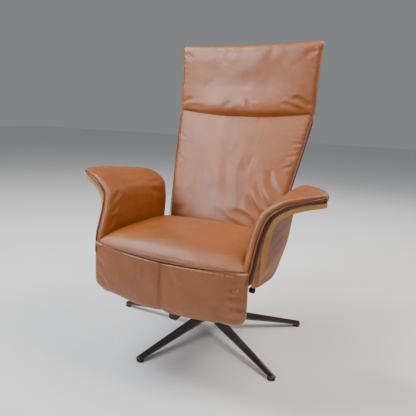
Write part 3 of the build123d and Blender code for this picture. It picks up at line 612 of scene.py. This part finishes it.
class CHAIR_OT_back(bpy.types.Operator):
    """Make the back cushion with its puckered lower half, and the cover behind it"""
    bl_idname = "chair.back"
    bl_label = "Back"

    def execute(self, context):
        sizes = context.scene.chair_sizes
        rows = []
        for v, n, half, depth, drop in ((0.014, 0.012, 0.206, 0.040, 0.004), (0.060, 0.000, 0.213, 0.052, 0.010),
                                        (0.146, -0.006, 0.223, 0.058, 0.015), (0.297, -0.008, 0.242, 0.060, 0.017),
                                        (0.420, -0.002, 0.257, 0.056, 0.014), (0.485, 0.002, 0.264, 0.052, 0.010),
                                        (0.504, 0.004, 0.266, 0.050, 0.008)):
            rows.append((*back_spot(0, v, n), -half, half, depth, drop))

        def shape(points, info, normal):
            height = (points - np.array(BACK_FOOT)) @ np.array(BACK_UP)
            flat = np.stack([points[:, 0], height], axis=1)
            ripple = folds(flat, (
                (0.200, 0.055, 0.090, 0.165, 0.012, 0.0046), (0.208, 0.100, 0.105, 0.215, 0.012, 0.0038),
                (0.150, 0.040, 0.040, 0.110, 0.012, 0.0030), (0.214, 0.165, 0.145, 0.265, 0.012, 0.0026),
                (0.080, 0.050, -0.020, 0.085, 0.011, 0.0016), (-0.190, 0.060, -0.110, 0.125, 0.013, 0.0018),
                (-0.200, 0.130, -0.130, 0.200, 0.014, 0.0014), (-0.075, 0.290, -0.065, 0.130, 0.018, 0.0013),
                (0.000, 0.330, -0.005, 0.160, 0.019, 0.0014), (0.085, 0.330, 0.060, 0.230, 0.016, 0.0014),
                (0.236, 0.300, 0.200, 0.275, 0.006, 0.0014), (0.242, 0.340, 0.205, 0.320, 0.006, 0.0014),
                (0.250, 0.385, 0.215, 0.372, 0.006, 0.0014), (-0.235, 0.300, -0.200, 0.280, 0.006, 0.0010),
                (-0.246, 0.390, -0.210, 0.375, 0.006, 0.0010)))
            streaks = wander(points * np.array((3.2, 0.5, 0.5)), 14.0, 17) * 0.0006
            soft = wander(points, 7.0, 12) * 0.0020 + wander(points, 20.0, 13) * 0.0005
            edge = np.sin(height * 330 + 2.5 * wander(points, 18.0, 14)) * 0.0006
            edge *= bell(np.abs(info[:, 1]) - 0.97, 0.05)
            lift = (ripple * sizes.puckers + soft + streaks + edge) * info[:, 2] ** 2
            return clear_of_roll(points + normal * lift[:, None], 0.0015)

        back = padded_form("back_leather", rows, ACROSS, finish_named("cowhide"), -1.0, 0.017,
                           0.012, 0.008, shape, (120, 8, 10), sizes.mesh_step)
        settle(back, "back", "leather", "back_cushion")
        cover_rows = []
        for v, n, half, drop in ((0.046, 0.082, 0.210, 0.002), (0.150, 0.086, 0.221, 0.004),
                                 (0.300, 0.087, 0.240, 0.006), (0.420, 0.086, 0.255, 0.005),
                                 (0.506, 0.084, 0.264, 0.003)):
            cover_rows.append((*back_spot(0, v, n), -half, half, 0.030, drop))

        def taut(points, info, normal):
            lift = (wander(points, 7.0, 15) * 0.0010 + wander(points, 22.0, 16) * 0.0003) * info[:, 2] ** 2
            return clear_of_roll(points + normal * lift[:, None], 0.006)

        cover = padded_form("back_cover_leather", cover_rows, ACROSS, finish_named("cowhide"), 1.0, 0.012,
                            0.006, 0.008, taut, (80, 7, 5), sizes.mesh_step * 1.3)
        settle(cover, "back", "leather", "back_rear_cover")
        return {"FINISHED"}


class CHAIR_OT_headrest(bpy.types.Operator):
    """Make the headrest pillow, a slab on a roll that turns in the top of the back"""
    bl_idname = "chair.headrest"
    bl_label = "Headrest"

    def execute(self, context):
        sizes = context.scene.chair_sizes
        rows = []
        for turn in (92, 104, 118, 134, 152, 170):     # round the roll, from behind to its front
            along = radians(turn)
            y = HEADREST_AXIS[0] + ROLL_DRAWN * cos(along)
            z = HEADREST_AXIS[1] - ROLL_DRAWN * sin(along)
            rows.append((0, y, z, -0.269, 0.269, 0.032 + 0.008 * (turn > 120), 0.004))
        for y, z, half, depth, drop in ((0.2260, 0.880, 0.270, 0.048, 0.006), (0.2265, 0.920, 0.268, 0.058, 0.008),
                                        (0.2275, 0.960, 0.267, 0.061, 0.009), (0.2285, 1.010, 0.268, 0.060, 0.009),
                                        (0.2300, 1.050, 0.270, 0.056, 0.008), (0.2340, 1.078, 0.272, 0.044, 0.006),
                                        (0.2440, 1.0945, 0.274, 0.032, 0.004), (0.2600, 1.0995, 0.274, 0.026, 0.003),
                                        (0.2760, 1.0950, 0.273, 0.026, 0.003)):
            rows.append((0, y, z, -half, half, depth, drop))

        def shape(points, info, normal):
            across = np.clip(np.abs(points[:, 0]) / 0.270, 0, 1)
            high = np.clip((points[:, 2] - 1.040) / 0.055, 0, 1)
            front = info[:, 2] * np.clip(-normal[:, 1], 0, 1)
            barrel = np.clip((0.955 - points[:, 2]) / 0.110, 0, 1)
            barrel = barrel * barrel * (3 - 2 * barrel) * info[:, 2]
            away = points[:, 1:] - np.array(HEADREST_AXIS)
            away /= np.maximum(np.linalg.norm(away, axis=1), 1e-6)[:, None]
            points[:, 1:] += away * (barrel * (roll_radius(points[:, 0]) - ROLL_DRAWN))[:, None]
            points[:, 2] -= high * 0.009 * (1 - across ** 2)
            flat = points[:, [0, 2]]
            ripple = folds(flat, (
                (0.262, 0.872, 0.185, 0.896, 0.008, 0.0046), (0.245, 0.856, 0.150, 0.868, 0.008, 0.0034),
                (-0.260, 0.872, -0.205, 0.887, 0.008, 0.0022), (-0.225, 0.852, -0.150, 0.858, 0.008, 0.0016),
                (0.060, 0.850, 0.020, 0.885, 0.011, 0.0016), (-0.070, 0.850, -0.040, 0.880, 0.011, 0.0016),
                (0.258, 1.072, 0.220, 1.040, 0.010, 0.0016), (-0.258, 1.072, -0.225, 1.040, 0.010, 0.0012),
                (0.10, 1.085, 0.09, 1.02, 0.016, 0.0009), (-0.08, 1.085, -0.07, 1.02, 0.016, 0.0008)))
            soft = wander(points, 9.0, 21) * 0.0024 + wander(points, 26.0, 22) * 0.0007
            gathers = np.sin(points[:, 2] * 300 + 2.5 * wander(points, 20.0, 23)) * 0.0006
            gathers *= bell(np.abs(info[:, 1]) - 0.98, 0.04)
            lift = (ripple * sizes.puckers + soft) * front + gathers * info[:, 2]
            return points + normal * lift[:, None]

        pillow = padded_form("headrest_leather", rows, ACROSS, finish_named("cowhide"), -1.0, 0.014,
                             0.006, 0.006, shape, (120, 8, 6), sizes.mesh_step)
        settle(pillow, "headrest", "leather", "headrest_cushion")
        return {"FINISHED"}


# The arm's shell from its lower edge to its tip: x and z of the outside, then y of the pad's front
# and rear edge and the whole depth from the outside of the shell to the leather.
ARM_ROWS = (
    (0.2740, 0.372, -0.3720, 0.041, 0.0440), (0.2830, 0.420, -0.3620, 0.047, 0.0480),
    (0.2860, 0.460, -0.3460, 0.052, 0.0500), (0.2900, 0.500, -0.3250, 0.058, 0.0510),
    (0.3000, 0.540, -0.2990, 0.066, 0.0490), (0.3300, 0.565, -0.2850, 0.046, 0.0440),
    (0.3650, 0.578, -0.2690, -0.030, 0.0400), (0.3950, 0.585, -0.2500, -0.105, 0.0370),
    (0.4190, 0.590, -0.2260, -0.170, 0.0340))
ARM_AXIS = Vector((-0.018, 0.440, 0)).normalized()
ARM_TOE_START = -0.382
SHELL_THICK = 0.0145
BOXING = 0.0115


def arm_rows(sign, base, depth_of, front=0.0, rear=0.0):
    """Rows for a padded form along the arm's profile, its skin at base(depth) from the shell's outside."""
    rows = []
    for i, (x, z, y_front, y_rear, depth) in enumerate(ARM_ROWS):
        ax, az = ARM_ROWS[max(i - 1, 0)][:2]
        bx, bz = ARM_ROWS[min(i + 1, len(ARM_ROWS) - 1)][:2]
        length = hypot(bx - ax, bz - az)
        out = base(depth)
        spot = (sign * (x - (bz - az) / length * out), ARM_TOE_START, z + (bx - ax) / length * out)
        rows.append((*spot, y_front - ARM_TOE_START + front, y_rear - ARM_TOE_START - rear,
                     depth_of(depth), 0.0))
    return rows


class CHAIR_OT_arms(bpy.types.Operator):
    """Make the arm pads, the boxing under them, its leather darkened as painted shade, and the piping along their
    edges
    """
    bl_idname = "chair.arms"
    bl_label = "Arms"

    def execute(self, context):
        sizes = context.scene.chair_sizes
        for side, sign in SIDES:
            axis = Vector((sign * ARM_AXIS.x, ARM_AXIS.y, 0))
            outward = float(sign)

            def shape(points, info, normal, seed=30 + sign):
                flat = np.stack([points[:, 1], points[:, 2] + np.abs(points[:, 0]) - 0.28], axis=1)
                ripple = folds(flat, (
                    (-0.330, 0.400, -0.290, 0.440, 0.009, 0.0020), (-0.320, 0.450, -0.270, 0.470, 0.009, 0.0020),
                    (-0.300, 0.500, -0.240, 0.520, 0.010, 0.0018), (0.02, 0.460, -0.05, 0.500, 0.012, 0.0018),
                    (0.03, 0.520, -0.06, 0.540, 0.012, 0.0016), (-0.20, 0.555, -0.08, 0.560, 0.014, 0.0014)))
                soft = wander(points, 9.0, seed) * 0.0018 + wander(points, 27.0, seed + 1) * 0.0005
                edge = np.sin(info[:, 0] * 190 + 2.5 * wander(points, 18.0, seed + 2)) * 0.0005
                edge *= bell(np.abs(info[:, 1]) - 0.96, 0.05)
                lift = (ripple * sizes.puckers + soft + edge) * info[:, 2] ** 2
                return points + normal * lift[:, None]

            rows = arm_rows(sign, lambda d: d, lambda d: d - SHELL_THICK - BOXING, -0.005)
            pad = padded_form(f"arm_pad_leather_{side}", rows, axis, finish_named("cowhide"), outward,
                              0.011, 0.004, 0.0085, shape, (100, 7, 4), sizes.mesh_step)
            settle(pad, "seat", "leather", f"arm_pad_{side}")
            # The boxing strip takes the darkened boxing leather, which is painted shade for the gap under the pad.
            boxing = padded_form(f"arm_boxing_{side}",
                                 arm_rows(sign, lambda d: SHELL_THICK + BOXING, lambda d: BOXING, 0.005, 0.003),
                                 axis, finish_named("boxing_leather_painted_shade"), outward, 0.003, 0.002, 0.003, None,
                                 (60, 3, 4), sizes.mesh_step * 1.5)
            settle(boxing, "seat", "leather")
            for name, column, shift in (("front", 3, -0.0030), ("rear", 4, -0.0015)):
                line = [Vector(row[:3]) + axis * (row[column] + shift)
                        for row in arm_rows(sign, lambda d: SHELL_THICK + BOXING, lambda d: d)]
                path, _ = through([tuple(p) for p in line], 160)
                piping = tube(f"arm_piping_{name}_{side}", path[:-5], sizes.welt, finish_named("welt_leather"))
                settle(piping, "seat", "leather")
        return {"FINISHED"}


class CHAIR_OT_seams(bpy.types.Operator):
    """Sew the seams: the front seam, the panel's middle seam and the gussets of the back"""
    bl_idname = "chair.seams"
    bl_label = "Seams and stitching"

    def execute(self, context):
        sizes = context.scene.chair_sizes
        thread = finish_named("dark_thread")
        welt = finish_named("welt_leather")
        xs = np.linspace(-FRONT_HALF + 0.012, FRONT_HALF - 0.012, 60)

        def front_line(lift, out):
            return [(x, -0.3965 - out + 0.027 * (x / FRONT_HALF) ** 2,
                     SEAM_Z + lift + SEAM_RISE * (x / FRONT_HALF) ** 2) for x in xs]

        seam = tube("front_seam", front_line(0.0, -0.0022), 0.0020, welt)
        settle(seam, "footrest", "leather")
        rows = stitch_row("front_seam_stitches", front_line(-0.0085, 0.0022)[3:-3], sizes.stitch, sizes.thread, thread)
        settle(rows, "footrest", "leather")
        for name, x in (("left", 0.0062), ("right", -0.0062)):
            line = [(x, y, z) for y, z in ((-0.3985, 0.388), (-0.4005, 0.365), (-0.4008, 0.330),
                                           (-0.3998, 0.295), (-0.3950, 0.262), (-0.3860, 0.243))]
            stitches = stitch_row(f"panel_stitches_{name}", line, sizes.stitch, sizes.thread, thread)
            settle(stitches, "footrest", "leather")
        for side, sign in SIDES:
            for name, depth in (("front", 0.016), ("rear", 0.049)):
                line = []
                for v, half in ((0.03, 0.2085), (0.060, 0.213), (0.146, 0.223), (0.297, 0.242),
                                (0.420, 0.257), (0.480, 0.2635)):
                    line.append(tuple(back_spot(sign * (half + 0.0004), v, depth)))
                path, _ = through(line, 120)
                gusset = tube(f"back_gusset_{name}_{side}", path, 0.0016, welt)
                settle(gusset, "back", "leather")
        return {"FINISHED"}


class CHAIR_OT_stage(bpy.types.Operator):
    """Set the pale floor, the soft lights and the camera"""
    bl_idname = "chair.stage"
    bl_label = "Stage"

    def execute(self, context):
        floor = Finish("pale_floor", **{"Roughness": 0.9, "Specular IOR Level": 0.1})
        cloud = floor.noise(1.5, 2.0)
        pale = context.scene.chair_colours.floor
        floor.set("Base Color", floor.blend(cloud, tinted(pale, 0.985), pale))
        size = 14.0
        ground = mesh_object("floor", [(-size, -size, 0), (size, -size, 0), (size, size, 0), (-size, size, 0)],
                             [(0, 1, 2, 3)], floor.material, False)
        lights = (  # name, place, aimed at, width, height, spread, power, colour
            ("key_window", (-1.6, -0.65, 3.1), (0, 0.0, 0.65), 1.8, 1.4, 180, 125, (0.93, 0.96, 1.0)),
            ("front_window", (-1.5, -2.7, 2.2), (0, 0.25, 1.05), 1.3, 1.5, 34, 8, (0.80, 0.86, 1.0)),
            ("warm_top", (1.4, 0.4, 2.9), (0, 0, 0.6), 1.4, 1.4, 180, 72, (1.0, 0.92, 0.82)),
            ("back_rim", (1.2, 3.0, 2.4), (0, 0.2, 0.8), 1.6, 1.2, 180, 30, (1.0, 0.95, 0.90)),
        )
        for name, place, target, wide, tall, spread, power, colour in lights:
            data = bpy.data.lights.new(name, "AREA")
            data.shape, data.spread = "RECTANGLE", radians(spread)
            data.size, data.size_y, data.energy, data.color = wide, tall, power, colour
            lamp = bpy.data.objects.new(name, data)
            lamp.location = place
            lamp.rotation_euler = (Vector(target) - Vector(place)).to_track_quat("-Z", "Y").to_euler()
            context.scene.collection.objects.link(lamp)
        world = bpy.data.worlds.new("studio")
        world.use_nodes = True
        sky = world.node_tree.nodes["Background"]
        sky.inputs["Color"].default_value = (0.95, 0.97, 1.0, 1)
        sky.inputs["Strength"].default_value = 0.24
        context.scene.world = world
        azimuth, pitch, roll = radians(29.8), radians(12.1), radians(2.13)
        forward = Vector((-sin(azimuth) * cos(pitch), cos(azimuth) * cos(pitch), -sin(pitch)))
        level = Vector((cos(azimuth), sin(azimuth), 0))
        upward = level.cross(forward)
        right = level * cos(roll) + upward * sin(roll)
        top = upward * cos(roll) - level * sin(roll)
        data = bpy.data.cameras.new("camera")
        data.sensor_width, data.lens = 36.0, 38.0
        data.shift_x, data.shift_y = 0.151, -0.0056
        camera = bpy.data.objects.new("camera", data)
        camera.matrix_world = Matrix((
            (right.x, top.x, -forward.x, 0.562), (right.y, top.y, -forward.y, -1.482),
            (right.z, top.z, -forward.z, 0.827), (0, 0, 0, 1)))
        context.scene.collection.objects.link(camera)
        context.scene.camera = camera
        return {"FINISHED"}


STEPS = (CHAIR_OT_finishes, CHAIR_OT_frame_finishes, CHAIR_OT_seat, CHAIR_OT_footrest, CHAIR_OT_back,
         CHAIR_OT_headrest, CHAIR_OT_arms, CHAIR_OT_seams, CHAIR_OT_stage)


class CHAIR_PT_panel(bpy.types.Panel):
    """The armchair's sizes, colours and making steps"""
    bl_label = "Armchair"
    bl_idname = "CHAIR_PT_panel"
    bl_space_type = "VIEW_3D"
    bl_region_type = "UI"
    bl_category = "Armchair"

    def draw(self, context):
        for group in (context.scene.chair_sizes, context.scene.chair_colours):
            for key in group.bl_rna.properties.keys():
                if key not in ("rna_type", "name"):
                    self.layout.prop(group, key)
        for step in STEPS:
            self.layout.operator(step.bl_idname)


CLASSES = (ChairSizes, ChairColours, *STEPS, CHAIR_PT_panel)


def register():
    for item in CLASSES:
        bpy.utils.register_class(item)
    bpy.types.Scene.chair_sizes = bpy.props.PointerProperty(type=ChairSizes)
    bpy.types.Scene.chair_colours = bpy.props.PointerProperty(type=ChairColours)


def unregister():
    del bpy.types.Scene.chair_colours
    del bpy.types.Scene.chair_sizes
    for item in reversed(CLASSES):
        bpy.utils.unregister_class(item)


def main():
    register()
    for step in STEPS:
        group, name = step.bl_idname.split(".")
        getattr(getattr(bpy.ops, group), name)()


if __name__ == "__main__":
    main()
